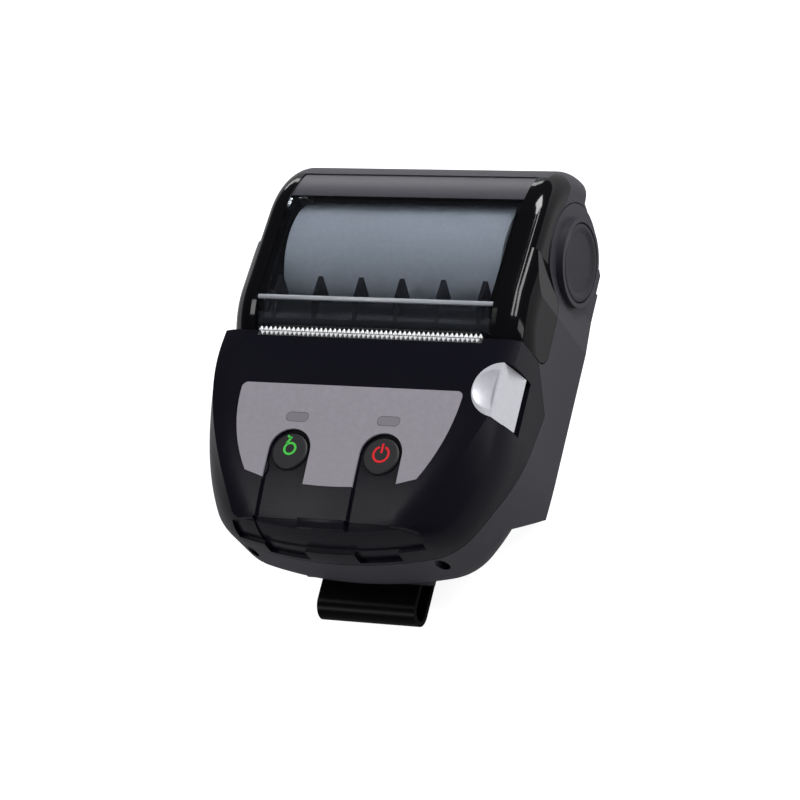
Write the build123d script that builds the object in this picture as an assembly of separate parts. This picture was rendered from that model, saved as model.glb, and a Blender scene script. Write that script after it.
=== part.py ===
from build123d import *
import os
from math import atan2, cos, degrees, hypot, pi, radians, sin, sqrt, tan

# Portable receipt printer for 58 mm paper, closed and lying on its base.
# +Z up, +Y towards the paper end, X to the right as the user sees it. Millimetres.

# Overall size
body_length = 112.8
half_width = 39.5
clip_overhang = 5.4
wall = 2.0
seam_gap = 0.25
running_fit = 0.05
seat_gap = 0.05

# Cover hinge and barrel
barrel_radius = 21.9
hinge_height = 20.7
cover_skin = 2.0
sweep_gap = 0.35
cover_back_angle = 6.0
back_panel_angle = 50.0
back_gauge = 1.0
drum_top = 28.5
end_wall_x = 32.7
top_slope = 4.8
shoulder_radius = 16.0
cover_shoulder_radius = 8.0
waist_shoulder_radius = 5.0
waist_half = 37.6
waist_front_y = 17.0
waist_rear_y = 27.0
hollow_corner_radius = 3.4
nose_rise_radius = 21.0
nose_rise_run = 11.7
split_y = 3.2
skirt_floor = 26.3
skirt_corner_radius = 4.0
skirt_inner = 36.0
ear_radius = 14.3
ear_boss_radius = 10.9
ear_proud = 0.1
ear_inner = 36.3

# Front body, seen from above and from the side
front_arc_radius = 104.0
front_corner_radius = 14.0
side_arc_radius = 50.0
side_arc_y = -17.0
hood_foot_z = 30.0
crease_half = 39.2
crease_front_y = -47.6
crease_front_radius = 150.0
crease_corner_radius = 6.5
crease_side_radius = 73.0
crease_side_y = 2.0
crease_drop = 1.05
deck_arc_radius = 148.0
deck_crown_y = -22.0
deck_crown_z = 44.1
nose_floor = 11.5
nose_under_radius = 8.0
step_top_y = -30.6
step_foot_y = -23.0
side_chamfer_rise = 6.5
side_chamfer_run = 4.5

# Seam between the upper and the lower case
seam_low_y = -6.5
seam_low_z = 20.8
seam_side_y = -35.0
seam_side_z = 28.2
seam_front_z = 29.0

# Deck details
channel_half = 5.5
channel_depth = 1.0
button_x = 12.0
button_y = -29.1
tongue_half = 6.1
tongue_front_y = -47.6
outer_tongue_front_y = -46.0
channel_front_y = -45.4
overlay_thickness = 0.5
overlay_top_y = -11.8
overlay_top_half = 29.1
overlay_side_y = -25.5
overlay_side_half = 26.9
overlay_corner_y = -34.5
overlay_corner_half = 22.5
overlay_foot_y = -35.9
overlay_foot_half = 17.8
overlay_chin_y = -37.5
lens_length = 5.8
lens_width = 2.3
lens_y = -20.5

# Keys and circuit board
key_radius = 4.6
key_top = 43.65
key_flange_radius = 5.6
key_flange_top = 41.45
key_flange_thickness = 1.0
key_travel = 0.5
key_clearance = 0.15
board_top = 37.5
board_thickness = 1.2
board_inset = 9.6
board_rear_y = -13.0
switch_side = 6.0
switch_height = 1.0

# Release lever
lever_x = 37.7
lever_y = -10.5
lever_radius = 7.0
lever_stem_in = 4.3
lever_travel = 2.2
lever_clearance = 0.25
lever_plate_foot = 34.2
lever_ridge_x = 37.0
lever_ridge_z = 42.9
pocket_floor = 31.7

# Window and its lip
window_half = 31.3
window_inset = 0.3
window_thickness = 1.1
window_ledge = 1.4
lip_y = 4.9
lip_z = 41.2
crease_y = 10.95
crease_z = 44.35

# Platen, gears and motor
platen_y = 9.0
platen_z = 35.0
platen_radius = 4.6
platen_half = 28.8
shaft_radius = 1.5
bush_radius = 3.0
bush_inner = 28.95
bush_outer = 30.5
gear_module = 0.6
platen_teeth = 15
idler_teeth = 18
pinion_teeth = 10
gear_backlash = 0.12
gear_left = -34.3
gear_width = 1.9
motor_z = 22.2
motor_radius = 7.5
motor_length = 12.0
frame_outer = 31.6
frame_gauge = 0.9
head_half = 27.0
head_thickness = 1.9
head_height = 8.2
head_gap = 0.1

# Tear bar
tear_half = 29.7
tear_teeth = 48
tear_gauge = 0.5
tear_front_y = 1.5
tear_tip_y = 3.95
tear_tooth = 0.9

# Paper roll and bucket
roll_radius = 16.7
roll_half = 28.9
roll_y = 28.6
roll_z = 24.6
core_radius = 6.3
core_bore = 4.6
bucket_wall = 1.2
bucket_gap = 0.3
bucket_side_gap = 0.5

# Battery and its door
battery_half = 26.0
battery_front_y = -19.4
battery_rear_y = 8.8
battery_floor = 2.3
battery_height = 10.8
door_half = 27.0
door_front_y = -20.0
door_rear_y = 10.0
door_thickness = 1.7
door_gap = 0.25

# Belt clip
clip_half = 13.0
clip_gauge = 1.3
clip_depth = 7.6
clip_rear_y = -31.2
clip_pad_half = 17.0
clip_pad_rise = 0.7
clip_screw_x = 7.0
clip_screw_y = -38.0

# Hinge caps and pins
cap_radius = 9.65
cap_thickness = 1.9
cap_dish = 0.5
pin_radius = 2.0

# Screws
screw_radius = 1.0
screw_head_radius = 1.9
screw_head_height = 1.3
boss_radius = 2.9

# Ports on the left side
port_front_y = -16.8
port_rear_y = -0.8
port_floor = 7.6
port_height = 8.4
flap_thickness = 1.4
flap_inset = 0.2

rear_y = body_length / 2
hinge_y = rear_y - barrel_radius
front_y = -rear_y + clip_overhang
drum_radius = barrel_radius - cover_skin - sweep_gap
far = 200.0


def on_circle(radius, angle):
    """Point (y, z) on a circle about the cover hinge."""
    return (hinge_y + radius * cos(radians(angle)), hinge_height + radius * sin(radians(angle)))


def side_slab(outline, x0, x1):
    """Closed outline in the Y-Z plane, made solid from x0 to x1."""
    face = make_face(Plane.YZ.offset(x0) * outline)
    return extrude(face, amount=x1 - x0, dir=(1, 0, 0))


def side_poly(points, x0, x1):
    return side_slab(Polyline(*points, close=True), x0, x1)


def block(x0, x1, y0, y1, z0, z1):
    """Box from its corners."""
    return Pos((x0 + x1) / 2, (y0 + y1) / 2, (z0 + z1) / 2) * Box(x1 - x0, y1 - y0, z1 - z0)


def rod(x0, x1, y, z, radius):
    """Cylinder along X."""
    return Pos((x0 + x1) / 2, y, z) * Rot(0, 90, 0) * Cylinder(radius, x1 - x0)


def post(x, y, z0, z1, radius):
    """Cylinder along Z."""
    return Pos(x, y, (z0 + z1) / 2) * Cylinder(radius, z1 - z0)


def both_sides(piece):
    return [piece, mirror(piece, about=Plane.YZ)]


def hood_outline(sizes, inset, waist=None):
    """Outline from above: front arc, corner arcs, long side arcs and straight sides."""
    front, front_radius, corner_radius, side_radius, side_y, half = sizes
    side = (half - side_radius, side_y)
    middle = (0, front + front_radius)
    span = hypot(middle[0] - side[0], middle[1] - side[1])
    to_side, to_front = side_radius - corner_radius, front_radius - corner_radius
    along = (to_side**2 - to_front**2 + span**2) / (2 * span)
    off = sqrt(to_side**2 - along**2)
    ux, uy = (middle[0] - side[0]) / span, (middle[1] - side[1]) / span
    corner = (side[0] + along * ux + off * uy, side[1] + along * uy - off * ux)

    def toward(centre, target, radius):
        length = hypot(target[0] - centre[0], target[1] - centre[1])
        scale = (radius - inset) / length
        return (centre[0] + scale * (target[0] - centre[0]), centre[1] + scale * (target[1] - centre[1]))

    front_joint = toward(middle, corner, front_radius)
    side_joint = toward(side, corner, side_radius)
    corner_mid = toward(corner, (corner[0] + 10, corner[1] - 10), corner_radius)
    side_mid = toward(side, ((side_joint[0] + half) / 2 + 5, (side_joint[1] + side_y) / 2), side_radius)
    x = half - inset
    right = [(x, side_y), (x, rear_y)]
    if waist:
        right[1:] = [(x, waist_front_y), (waist - inset, waist_rear_y), (waist - inset, rear_y)]
    left = [(-u, v) for u, v in reversed(right)]
    outline = (
        ThreePointArc((-front_joint[0], front_joint[1]), (0, front + inset), front_joint)
        + ThreePointArc(front_joint, corner_mid, side_joint)
        + ThreePointArc(side_joint, side_mid, right[0])
        + Polyline(*right, *left)
        + ThreePointArc(left[-1], (-side_mid[0], side_mid[1]), (-side_joint[0], side_joint[1]))
        + ThreePointArc((-side_joint[0], side_joint[1]), (-corner_mid[0], corner_mid[1]),
                        (-front_joint[0], front_joint[1]))
    )
    return make_face(outline)


body_sizes = (front_y, front_arc_radius, front_corner_radius, side_arc_radius, side_arc_y, half_width)
crease_sizes = (crease_front_y, crease_front_radius, crease_corner_radius, crease_side_radius,
                crease_side_y, crease_half)
hood_steps = [(hood_foot_z, 0), (33, 0.05), (36, 0.2), (39.5, 0.55), (46.5, 1.35)]


def plan_face(inset):
    """Outline of the body from above, with its narrower waist at the hinge."""
    return hood_outline(body_sizes, inset, waist_half)


def deck_form(inset):
    """Front body: leaning sides up to a soft crease, and the crowned deck with its rounded border."""
    border = shoulder_radius - sqrt(shoulder_radius**2 - (shoulder_radius - crease_drop) ** 2)
    top = hood_outline(crease_sizes, inset - border)
    radius = deck_arc_radius - inset
    centre_z = deck_crown_z - deck_arc_radius
    reach = 70.0
    drop = centre_z + sqrt(radius**2 - reach**2)
    outline = ThreePointArc(
        (deck_crown_y - reach, drop), (deck_crown_y, centre_z + radius), (deck_crown_y + reach, drop)
    ) + Polyline((deck_crown_y + reach, drop), (deck_crown_y + reach, 0), (deck_crown_y - reach, 0),
                 (deck_crown_y - reach, drop))
    form = extrude(top, amount=60) & side_slab(outline, -reach, reach)
    crown = form.faces().sort_by(Axis.Z)[-1]
    rim = [edge for edge in crown.edges() if edge.center().Y < rear_y - 1]
    form = fillet(rim, shoulder_radius - inset)
    sections = []
    for height, lean in hood_steps:
        sizes = [low + lean * (high - low) for low, high in zip(body_sizes, crease_sizes)]
        sections.append(Pos(0, 0, height) * hood_outline(sizes, inset))
    hood = loft(sections) + extrude(hood_outline(body_sizes, inset), amount=hood_foot_z)
    return form & hood


def cover_profile(inset):
    """Side outline of the cover: rise behind the split, straight top, barrel about the hinge."""
    radius = barrel_radius - inset
    join = on_circle(radius, 90 - top_slope)
    slope = radians(top_slope)
    rise_y = split_y + nose_rise_run
    run = (join[0] - rise_y) / cos(slope)
    crest = (join[0] - run * cos(slope), join[1] + run * sin(slope))
    rise_radius = nose_rise_radius - inset
    top = Line(join, crest)
    rise = JernArc(start=crest, tangent=(-cos(slope), sin(slope)), radius=rise_radius, arc_size=60)
    end = rise @ 1
    centre = (crest[0] - rise_radius * sin(slope), crest[1] - rise_radius * cos(slope))
    foot = on_circle(radius, -10)
    barrel = ThreePointArc(foot, on_circle(radius, 40), join)
    return barrel + top + rise + Polyline((end.X, end.Y), centre, (hinge_y, hinge_height), foot)


def cover_form(inset, x, radius):
    """Cover body |X| < x with rounded shoulders, before the split and the skirt are cut."""
    form = side_slab(cover_profile(inset), -x, x)
    rim = []
    for face in form.faces():
        if abs(abs(face.center().X) - x) < 0.01:
            for edge in face.edges():
                straight = edge.geom_type == GeomType.LINE
                if not straight or abs(abs(edge.tangent_at(0.5).Z) - sin(radians(top_slope))) < 0.001:
                    rim.append(edge)
    form = fillet(rim, radius)
    low = split_y - 1
    belly = [(low, 10), (low, 31), (8, 33), (28, 31), (hinge_y, 26), (hinge_y, 10)]
    return form + side_poly(belly, -x, x)


def ray_wedge(angle_from, angle_to, radius):
    """Sector about the hinge axis, as an outline."""
    middle = on_circle(radius, (angle_from + angle_to) / 2)
    start, end = on_circle(radius, angle_from), on_circle(radius, angle_to)
    axis = (hinge_y, hinge_height)
    return Line(axis, start) + ThreePointArc(start, middle, end) + Line(end, axis)


def window_region(depth):
    """Everything under the window's surface, lowered by depth: lip, crease, top and barrel."""
    radius = barrel_radius - depth
    join = on_circle(radius, 90 - top_slope)
    lip_angle = atan2(crease_z - lip_z, crease_y - lip_y)
    slope = radians(top_slope)
    fall = depth - window_inset
    lip = (lip_y + fall * sin(lip_angle), lip_z - fall * cos(lip_angle))
    top_at_lip = join[1] + (join[0] - lip[0]) * tan(slope)
    run = (top_at_lip - lip[1]) / (tan(lip_angle) + tan(slope))
    crease = (lip[0] + run, lip[1] + run * tan(lip_angle))
    start = (lip[0] - 10 * cos(lip_angle), lip[1] - 10 * sin(lip_angle))
    end = on_circle(radius, 0)
    return (
        Polyline(end, (end[0], 0), (start[0], 0), start, crease, join)
        + ThreePointArc(join, on_circle(radius, 45), end)
    )


def seam_region(lift):
    """Everything under the seam between the upper and lower case, raised by lift."""
    rise = skirt_floor + skirt_corner_radius + 0.4
    outline = (
        Polyline((-far, seam_front_z + lift), (seam_side_y - 8, seam_front_z + lift),
                 (seam_side_y, seam_side_z + lift))
        + ThreePointArc((seam_side_y, seam_side_z + lift),
                        ((seam_side_y + seam_low_y) / 2 + 1, (seam_side_z + seam_low_z) / 2 - 0.6 + lift),
                        (seam_low_y, seam_low_z + lift))
        + Polyline((seam_low_y, seam_low_z + lift), (split_y - seam_gap, rise + lift),
                   (split_y - seam_gap, far), (far, far), (far, -far), (-far, -far),
                   (-far, seam_front_z + lift))
    )
    return side_slab(outline, -half_width - 1, half_width + 1)


def nose_form(inset):
    """Shallow front of the case, rounded underneath."""
    prism = Pos(0, 0, nose_floor + inset) * extrude(plan_face(inset), amount=30)
    prism = prism & block(-far, far, -far, 0, -far, far)
    floor = prism.faces().sort_by(Axis.Z)[0]
    rim = [edge for edge in floor.edges() if edge.center().Y < -1]
    return fillet(rim, nose_under_radius - inset)


def deep_form(inset):
    """Deep rear of the case: sloping step, flat base, rear drum about the hinge."""
    slope = atan2(nose_floor, step_foot_y - step_top_y)
    shift = inset / sin(slope)
    lean = 1 / tan(slope)
    foot_y = step_foot_y + shift - inset * lean
    top_y = step_foot_y + shift - 40 * lean
    radius = drum_radius - inset
    heel = on_circle(radius, -68)
    outline = (
        Polyline(on_circle(radius, 25), (hinge_y, 40), (top_y, 40), (foot_y, inset),
                 (heel[0] - 1.6, inset), heel)
        + ThreePointArc(heel, on_circle(radius, -20), on_circle(radius, 25))
    )
    x = half_width - inset
    body = side_slab(outline, -x, x)
    lean_side = atan2(side_chamfer_rise, side_chamfer_run)
    flat_x = half_width - side_chamfer_run - inset * (1 - cos(lean_side)) / sin(lean_side)
    chamfer_z = inset + (x - flat_x) * tan(lean_side)
    section = Polyline((-x, 60), (-x, chamfer_z), (-flat_x, inset), (flat_x, inset),
                       (x, chamfer_z), (x, 60), close=True)
    bar = extrude(make_face(Plane.XZ.offset(-rear_y - 5) * section), amount=2 * far, dir=(0, -1, 0))
    return body & bar


def lower_form(inset):
    front = nose_form(inset)
    rear = deep_form(inset)
    rear = rear & extrude(plan_face(inset), amount=60)
    return front + rear


def screw(x, y, z_head, length):
    """Pan-head screw pointing up, its head's underside at z_head."""
    head = post(x, y, z_head - screw_head_height, z_head, screw_head_radius)
    slot = block(x - 1.2, x + 1.2, y - 0.25, y + 0.25, z_head - screw_head_height, z_head - 0.8)
    cross = block(x - 0.25, x + 0.25, y - 1.2, y + 1.2, z_head - screw_head_height, z_head - 0.8)
    return head - slot - cross + post(x, y, z_head, z_head + length, screw_radius)


case_screws = [(33.4, -19.5, 2.2), (19.5, -33.6, nose_floor + 2.2)]


def lower_case():
    """Matt lower tub: walls, drum, hinge ears, bay for the battery, bosses and strap eyes."""
    tub = lower_form(0) - lower_form(wall)
    tub = tub & seam_region(-seam_gap)
    step = skirt_floor - seam_gap
    tub -= block(-skirt_inner, skirt_inner, split_y - seam_gap, hinge_y + 6, step, far)
    tub -= block(-skirt_inner, skirt_inner, 0, far, drum_top, far)
    for cut in side_cut():
        tub -= cut
    end_wall = block(end_wall_x, end_wall_x + 1.5, 16, far, 1, step - 0.4) & deep_form(wall / 2)
    for piece in both_sides(end_wall):
        tub += piece
    slot = side_slab(ray_wedge(-67, 150, barrel_radius), wall_slot_inner(), ear_inner)
    hub = rod(wall_slot_inner(), ear_inner, hinge_y, hinge_height, 8.0)
    for cut in both_sides(slot + hub):
        tub -= cut
    ear = rod(ear_inner, waist_half + ear_proud, hinge_y, hinge_height, ear_radius - 0.06)
    ear += rod(ear_inner + 0.1, half_width, hinge_y, hinge_height, ear_boss_radius)
    ear += side_poly([(hinge_y - 24, 8), (hinge_y - 3, 8), (hinge_y - 3, 20), (hinge_y - 24, 24)],
                     ear_inner, waist_half - 0.3)
    dish = rod(half_width - cap_thickness - seat_gap, far, hinge_y, hinge_height, cap_radius + 0.15)
    dish += rod(skirt_inner, far, hinge_y, hinge_height, pin_radius)
    for piece, bore in zip(both_sides(ear), both_sides(dish)):
        tub = tub + piece - bore
    tub += battery_bay()
    tub += clip_pad()
    for piece in both_sides(strap_block()):
        tub += piece
    for x, y, z_head in case_screws:
        for piece in both_sides(post(x, y, z_head - 1.4, 21.0, boss_radius) & lower_form(wall / 2)):
            tub += piece
    for x, y, z_head in case_screws:
        hole = post(x, y, -1, 22, screw_radius + seat_gap)
        hole += post(x, y, -1, z_head, screw_head_radius + 0.15)
        for bore in both_sides(hole):
            tub -= bore
    tub -= block(-door_half - door_gap, door_half + door_gap, door_front_y - door_gap,
                 door_rear_y + door_gap, -1, door_thickness + 0.15)
    tub -= port_opening(0.15)
    for bore in both_sides(strap_hole()):
        tub -= bore
    for x in (-clip_screw_x, clip_screw_x):
        tub -= post(x, clip_screw_y, 0, nose_floor + 4, screw_radius)
    return tub


def wall_slot_inner():
    """Inner side of the slot that the cover's cheek turns in."""
    return skirt_inner - cheek_gauge() - 0.3


def cheek_gauge():
    return 1.4


def battery_bay():
    """Low walls that hold the battery above its door."""
    top = battery_floor + battery_height - 2
    z0 = door_thickness + 0.15
    gap = 0.2
    x = battery_half + gap
    rails = [block(s * x - 0.6 * (1 - s), s * x + 0.6 * (1 + s), battery_front_y + 1, battery_rear_y,
                   z0, top) for s in (-1, 1)]
    stop = block(-x, x, battery_rear_y + gap, battery_rear_y + gap + 1.2, z0, top)
    return rails[0] + rails[1] + stop


def clip_pad():
    """Flat pad under the nose that the clip is screwed to."""
    pad = block(-clip_pad_half, clip_pad_half, -47.5, -31.5, nose_floor - clip_pad_rise, nose_floor + 3)
    return pad


def strap_block():
    """Solid corner behind the front wall that the wrist-strap hole passes through."""
    body = side_poly([(-60, 40), (-60, 5), (-34.5, 5), (-40.5, 40)], 21.5, 28.5)
    return body & nose_form(wall / 2) & seam_region(-seam_gap - 0.3)


def strap_hole():
    """Wrist-strap hole from the front face down to the underside."""
    start, end = (-50.4, 29.5), (-37.1, 7.5)
    length = hypot(end[0] - start[0], end[1] - start[1])
    tilt = degrees(atan2(end[0] - start[0], start[1] - end[1]))
    middle = ((start[0] + end[0]) / 2, (start[1] + end[1]) / 2)
    return Pos(25.0, middle[0], middle[1]) * Rot(tilt, 0, 0) * Cylinder(1.4, length)


def channel_cut(grow):
    """Channel from each key to the front edge of the deck, as a tall prism."""
    half = channel_half + grow
    bar = block(button_x - half, button_x + half, -60, button_y, 30, 50)
    return bar + post(button_x, button_y, 30, 50, half)


def overlay_outline(grow):
    """Outline of the grey panel, grown by a small gap."""
    side = ThreePointArc((overlay_corner_half, overlay_corner_y), (overlay_side_half, overlay_side_y),
                         (overlay_top_half, overlay_top_y))
    left = ThreePointArc((-overlay_top_half, overlay_top_y), (-overlay_side_half, overlay_side_y),
                         (-overlay_corner_half, overlay_corner_y))
    chin = ThreePointArc((-overlay_foot_half, overlay_foot_y), (0, overlay_chin_y),
                         (overlay_foot_half, overlay_foot_y))
    outline = (
        side
        + Line((overlay_top_half, overlay_top_y), (-overlay_top_half, overlay_top_y))
        + left
        + Line((-overlay_corner_half, overlay_corner_y), (-overlay_foot_half, overlay_foot_y))
        + chin
        + Line((overlay_foot_half, overlay_foot_y), (overlay_corner_half, overlay_corner_y))
    )
    face = make_face(outline)
    corners = face.vertices().filter_by(lambda v: abs(v.Y - overlay_top_y) < 0.1)
    face = fillet(corners, 1.5)
    if grow:
        face = offset(face, amount=grow)
    return Pos(0, 0, 30) * extrude(face, amount=20)


def lens_prism(x, grow):
    shape = SlotOverall(lens_length + 2 * grow, lens_width + 2 * grow)
    return Pos(x, lens_y, 30) * extrude(shape, amount=20)


def lever_cut(grow, z0):
    return post(lever_x, lever_y, z0, 50, lever_radius + grow)


def upper_case():
    """Black upper shell: crowned deck, tongues, key channels, lever pocket and screw posts."""
    outer = deck_form(0)
    shell = outer - deck_form(wall)
    shell = shell & block(-far, far, -far, split_y - seam_gap / 2, 0, far)
    shell -= seam_region(0)
    sunk = deck_form(channel_depth)
    front_edge = (
        block(-far, -channel_half - button_x, -far, outer_tongue_front_y, 0, far)
        + block(channel_half + button_x, far, -far, outer_tongue_front_y, 0, far)
        + block(-tongue_half, tongue_half, -far, tongue_front_y, 0, far)
    )
    front_edge = front_edge & block(-24.5, 24.5, -far, 0, 34, far)
    for channel in both_sides(channel_cut(0)):
        front_edge += channel
    shell -= front_edge - sunk
    pad_front = block(-far, far, -far, channel_front_y, 34, far) & block(-18, 18, -far, 0, 0, far)
    shell -= pad_front - deck_form(channel_depth + 0.4)
    shell -= overlay_outline(0.08) - deck_form(overlay_thickness + 0.05)
    for x in (-button_x, button_x):
        shell -= post(x, button_y, 30, 50, key_radius + key_clearance)
        shell -= lens_prism(x, 0.05)
    pocket = lever_cut(lever_clearance, pocket_floor)
    ring = lever_cut(lever_clearance + 1.2, pocket_floor - 1.2) & deck_form(0.6)
    ring -= lever_cut(lever_clearance, pocket_floor)
    ring = ring & block(-far, half_width - wall - 0.05, -far, split_y - 1, pocket_floor - 1.2, far)
    shell = shell - pocket + ring
    shell -= post(lever_x - lever_stem_in, lever_y, 20, 45, 1.6 + running_fit)
    for x, y, z_head in case_screws:
        pillar = post(x, y, 21.0 + seat_gap, 46, boss_radius - 0.2) & deck_form(0.5)
        for side in both_sides(pillar - post(x, y, 0, 29, screw_radius + 0.02)):
            shell += side
    shell -= block(-tear_half - 0.2, tear_half + 0.2, tear_front_y - 0.2, 10, 30, 50) - deck_form(tear_gauge + 0.1)
    return shell


def panel_overlay():
    """Grey metallic panel let into the deck round the keys."""
    plate = overlay_outline(0) & (deck_form(0) - deck_form(overlay_thickness))
    for channel in both_sides(channel_cut(0.05)):
        plate -= channel
    for x in (-button_x, button_x):
        plate -= lens_prism(x, 0.1)
    return plate


def status_lenses():
    """Two oval light pipes beside the keys."""
    depth = deck_form(0) - block(-far, far, -far, far, -far, board_top + 1.3)
    return [lens_prism(x, 0) & depth for x in (-button_x, button_x)]


def key(x):
    """Round key with a retaining flange and a stem over its switch."""
    cap = post(x, button_y, key_flange_top, key_top, key_radius)
    cap = fillet(cap.edges().filter_by(GeomType.CIRCLE).sort_by(Axis.Z)[-1], 0.6)
    flange = post(x, button_y, key_flange_top - key_flange_thickness, key_flange_top, key_flange_radius)
    stem_foot = board_top + switch_height + 0.6 + key_travel + 0.1
    return cap + flange + post(x, button_y, stem_foot, key_flange_top - key_flange_thickness, 1.3)


def tact_switches():
    half = switch_side / 2
    switches = []
    for x in (-button_x, button_x):
        body = block(x - half, x + half, button_y - half, button_y + half, board_top,
                     board_top + switch_height)
        switches.append(body + post(x, button_y, board_top + switch_height,
                                    board_top + switch_height + 0.6, 1.7))
    return switches


def main_board():
    plate = Pos(0, 0, board_top - board_thickness) * extrude(plan_face(board_inset), amount=board_thickness)
    plate = plate & block(-29, 29, -far, board_rear_y, 0, far)
    for x, y in ((-25, -17), (25, -17), (-14, -42), (14, -42)):
        plate -= post(x, y, 30, 40, 1.1)
    for notch in both_sides(post(case_screws[1][0], case_screws[1][1], 30, 40, boss_radius + 0.2)):
        plate -= notch
    chips = [block(-8, 4, -42, -34, 35.2, board_top - board_thickness),
             block(8, 18, -30, -18, 34.8, board_top - board_thickness),
             block(-20, -10, -28, -18, 35.2, board_top - board_thickness)]
    for chip in chips:
        plate += chip
    return plate


def board_posts():
    """Screws that hold the board to posts under the deck."""
    out = []
    for x, y in ((-25, -17), (25, -17), (-14, -42), (14, -42)):
        screw_top = board_top + 2.5
        out.append(post(x, y, board_top - board_thickness, screw_top, 1.0)
                   + post(x, y, board_top - board_thickness - 1.2, board_top - board_thickness, 1.9))
    return out


def release_lever():
    """Silver half-round thumb lever with a side plate, on a round guide stem."""
    section = Polyline((29.5, 43.55), (lever_ridge_x, lever_ridge_z), (half_width - 0.1, lever_plate_foot),
                       (half_width - 1.6, lever_plate_foot), (lever_ridge_x - 1.0, 41.0), (29.5, 41.0),
                       close=True)
    bar = extrude(make_face(Plane.XZ.offset(30) * section), amount=60, dir=(0, 1, 0))
    head = bar & lever_cut(0, 30)
    bowl = Pos(lever_x - 0.8, lever_y, 53.4) * Sphere(11.6)
    bowl = bowl & block(-far, lever_ridge_x - 0.5, -far, far, 0, far)
    head -= bowl
    return head + post(lever_x - lever_stem_in, lever_y, 28.5, 41.5, 1.6)


def lever_spring():
    """Return spring round the lever's stem, drawn as a sleeve."""
    x = lever_x - lever_stem_in
    return post(x, lever_y, pocket_floor + 0.05, 40.9, 2.3) - post(x, lever_y, 20, 45, 1.8)


def tear_bar():
    """Serrated steel bar along the rear edge of the deck."""
    pitch = 2 * tear_half / tear_teeth
    root_y = tear_tip_y - tear_tooth
    points = [(-tear_half, tear_front_y), (-tear_half, root_y)]
    for i in range(tear_teeth):
        x = -tear_half + i * pitch
        points += [(x + pitch / 2, tear_tip_y), (x + pitch, root_y)]
    points.append((tear_half, tear_front_y))
    outline = extrude(make_face(Polyline(*points, close=True)), amount=60)
    slope = degrees((tear_front_y - deck_crown_y) / deck_arc_radius)
    top = deck_crown_z - (tear_front_y - deck_crown_y) ** 2 / (2 * deck_arc_radius)
    sheet = Pos(0, tear_front_y, top) * Rot(-slope, 0, 0) * Box(
        4 * tear_half, 12, tear_gauge, align=(Align.CENTER, Align.CENTER, Align.MAX))
    return outline & sheet


def cover_cut():
    """Space the cover fills: behind the split, above the skirt seam, over the ear."""
    edge = on_circle(80, cover_back_angle)
    radius = ear_radius + seam_gap
    front, touch = skirt_edge(0, radius)
    outline = (
        front
        + ThreePointArc(touch, on_circle(radius, 90), on_circle(radius, cover_back_angle))
        + Polyline(on_circle(radius, cover_back_angle), edge, (edge[0], 60), (split_y, 60))
    )
    return side_slab(outline, -half_width - 1, half_width + 1)


def side_cut():
    """What the sides of the lower case leave free: the cover's skirt, and all behind the ear."""
    front, touch = skirt_edge(seam_gap, ear_radius)
    outline = (
        front
        + ThreePointArc(touch, on_circle(ear_radius, 20), on_circle(ear_radius, -90))
        + Polyline(on_circle(ear_radius, -90), (hinge_y, -20), (far, -20), (far, 60),
                   (split_y - seam_gap, 60))
    )
    return both_sides(side_slab(outline, skirt_inner, half_width + 1))


def skirt_edge(grow, radius):
    """Front edge and rounded lower corner of the cover's side, up to the circle of the ear."""
    floor = skirt_floor - grow
    front = split_y - grow
    corner = skirt_corner_radius
    touch = (hinge_y - sqrt(radius**2 - (floor - hinge_height) ** 2), floor)
    edge = (
        Polyline((front, 60), (front, floor + corner))
        + ThreePointArc((front, floor + corner),
                        (front + corner * (1 - cos(pi / 4)), floor + corner * (1 - sin(pi / 4))),
                        (front + corner, floor))
        + Line((front + corner, floor), touch)
    )
    return edge, touch


def inner_cover_space():
    """Hollow of the cover between its side skirts, closed in front beside the window."""
    hollow = cover_form(cover_skin, skirt_inner, hollow_corner_radius)
    front = cover_form(cover_skin, skirt_inner, 1.5) & block(-far, far, -far, waist_front_y + 1, -far, far)
    hollow += front
    sweep = ray_wedge(cover_back_angle - 5, 100, drum_radius + sweep_gap - 0.1)
    hollow += side_slab(sweep, -wall_slot_inner() - 0.2, wall_slot_inner() + 0.2)
    for wall_block in both_sides(block(34.9, far, -far, split_y + 1.5, -far, far)):
        hollow -= wall_block
    return hollow


def back_region():
    """Outline of the matt rear panel of the cover, as cut into its outside."""
    top = side_slab(ray_wedge(0, back_panel_angle, 2 * barrel_radius), -34.0, 34.0)
    seam = [on_circle(ear_radius - 1, 66), on_circle(18.2, 36), on_circle(40, 34), on_circle(40, 0),
            on_circle(ear_radius - 1, 0)]
    wedge = side_poly(seam, -far, far)
    low = side_slab(ray_wedge(0, 34, 2 * barrel_radius), -far, far)
    return top + wedge + low


def cover_shell():
    """Whole outer skin and skirts of the cover, before it is split into its pieces."""
    lean = (half_width - waist_half) / (waist_rear_y - waist_front_y)
    end_y = waist_rear_y + 0.4
    end_x = waist_half - 0.4 * lean
    start_x = end_x + (end_y + rear_y) * lean
    plan = Polyline((-start_x, -rear_y), (start_x, -rear_y), (end_x, end_y), (-end_x, end_y), close=True)
    flare = cover_form(0, half_width, cover_shoulder_radius) & extrude(make_face(plan), amount=60)
    outside = cover_form(0, waist_half, waist_shoulder_radius) + flare
    return (outside & cover_cut()) - inner_cover_space()


def window_opening():
    """Rebate and through hole that the window lies in."""
    front = block(-window_half - 0.1, window_half + 0.1, lip_y - 5, far, 0, far)
    over = side_slab(window_region(window_inset + window_thickness), -far, far)
    rebate = front - over
    through = block(-window_half + window_ledge, window_half - window_ledge, -far, far, 0, far)
    reach = side_poly([(hinge_y, hinge_height), on_circle(80, back_panel_angle), (split_y - 5, 80),
                       (split_y - 5, hinge_height)], -far, far)
    return (rebate + through) & reach


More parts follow.
